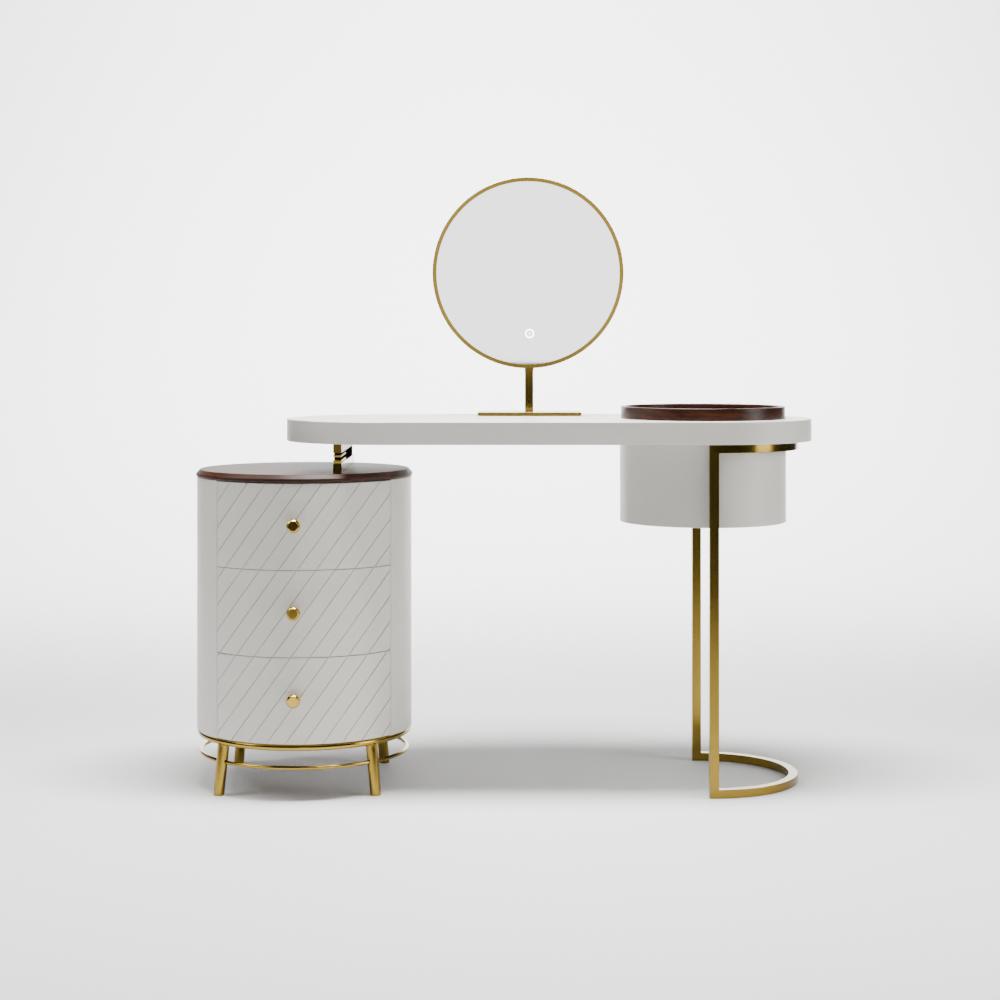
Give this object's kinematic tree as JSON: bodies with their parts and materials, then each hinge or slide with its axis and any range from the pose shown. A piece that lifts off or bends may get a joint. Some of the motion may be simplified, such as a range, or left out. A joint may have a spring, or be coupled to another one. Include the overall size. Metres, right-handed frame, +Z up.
{
  "type": "vanity table with mirror",
  "caption": "Dressing table: round-ended top on a brass hoop and a round chest of drawers, with a lift-off tray over a storage drum and a round lit mirror that tilts.",
  "frame": {"origin": "on the floor, under the middle of the whole object's box", "axes": "+Z up, front towards -Y, chest of drawers at -X and drum at +X"},
  "size_m": [1.2767, 0.47, 1.2635],
  "materials": {
    "lacquer": "satin warm grey lacquer on board",
    "walnut": "glossy dark walnut",
    "brushed_brass": "brushed",
    "polished_brass": "polished",
    "carcass_board": "plain birch board",
    "zinc_steel": "zinc plated",
    "dark_metal": "blackened",
    "glide": "matte",
    "felt": "felt",
    "mirror_glass": "silvered glass",
    "icon_mark": "frosted, lit from behind",
    "mirror_back": "fine matte",
    "light_strip": "milky",
    "electrics": "moulded"
  },
  "bodies": {
    "table": {"table_top": "lacquer", "drum_wall": "lacquer", "drum_floor": "lacquer", "chest_shell": "lacquer", "chest_floor": "lacquer", "chest_ceiling": "lacquer", "walnut_top": "walnut", "floor_hoop": "brushed_brass", "top_hoop": "brushed_brass", "front_post": "brushed_brass", "rear_post": "brushed_brass", "bracket_upper_bar": "brushed_brass", "bracket_lower_bar": "brushed_brass", "bracket_bands": "brushed_brass", "base_ring": "brushed_brass", "foot_ring": "brushed_brass", "legs": "brushed_brass", "base_tabs": "brushed_brass", "mirror_base_plate": "brushed_brass", "mirror_post": "brushed_brass", "post_collar": "brushed_brass", "hinge_pin": "brushed_brass", "runner_panels": "carcass_board", "dust_boards": "carcass_board", "drum_dowels": "carcass_board", "runner_channels": "zinc_steel", "top_screws": "zinc_steel", "base_screws": "zinc_steel", "mirror_stand_bolt": "zinc_steel", "bracket_spacer": "dark_metal", "frame_glides": "glide", "leg_glides": "glide", "mirror_base_pad": "felt"},
    "tray": {"tray_rim": "walnut", "tray_floor": "walnut"},
    "mirror_head": {"mirror_frame": "brushed_brass", "touch_icon": "icon_mark", "mirror_glass": "mirror_glass", "touch_sensor": "electrics", "led_strip": "light_strip", "mirror_back_cover": "mirror_back", "power_socket": "electrics", "led_driver": "electrics", "hinge_lug": "brushed_brass", "hinge_lug_screws": "zinc_steel"},
    "bottom_drawer": {"bottom_drawer_front": "lacquer", "bottom_drawer_walls": "carcass_board", "bottom_drawer_bottom": "carcass_board", "bottom_drawer_runners": "zinc_steel", "bottom_drawer_knob": "polished_brass"},
    "middle_drawer": {"middle_drawer_front": "lacquer", "middle_drawer_walls": "carcass_board", "middle_drawer_bottom": "carcass_board", "middle_drawer_runners": "zinc_steel", "middle_drawer_knob": "polished_brass"},
    "top_drawer": {"top_drawer_front": "lacquer", "top_drawer_walls": "carcass_board", "top_drawer_bottom": "carcass_board", "top_drawer_runners": "zinc_steel", "top_drawer_knob": "polished_brass"}
  },
  "joints": [
    {"name": "top_drawer_slide", "type": "slide", "parent": "table", "child": "top_drawer", "axis": [0, -1, 0], "range_m": [0, 0.22]},
    {"name": "middle_drawer_slide", "type": "slide", "parent": "table", "child": "middle_drawer", "axis": [0, -1, 0], "range_m": [0, 0.22]},
    {"name": "bottom_drawer_slide", "type": "slide", "parent": "table", "child": "bottom_drawer", "axis": [0, -1, 0], "range_m": [0, 0.22]},
    {"name": "mirror_tilt", "type": "hinge", "parent": "table", "child": "mirror_head", "pos_m": [0.0558, 0.207, 1.0575], "axis": [-1, 0, 0], "range_deg": [-2.5, 20]},
    {"name": "tray_lift", "type": "slide", "parent": "table", "child": "tray", "axis": [0, 0, 1], "range_m": [0, 0.15]}
  ]
}
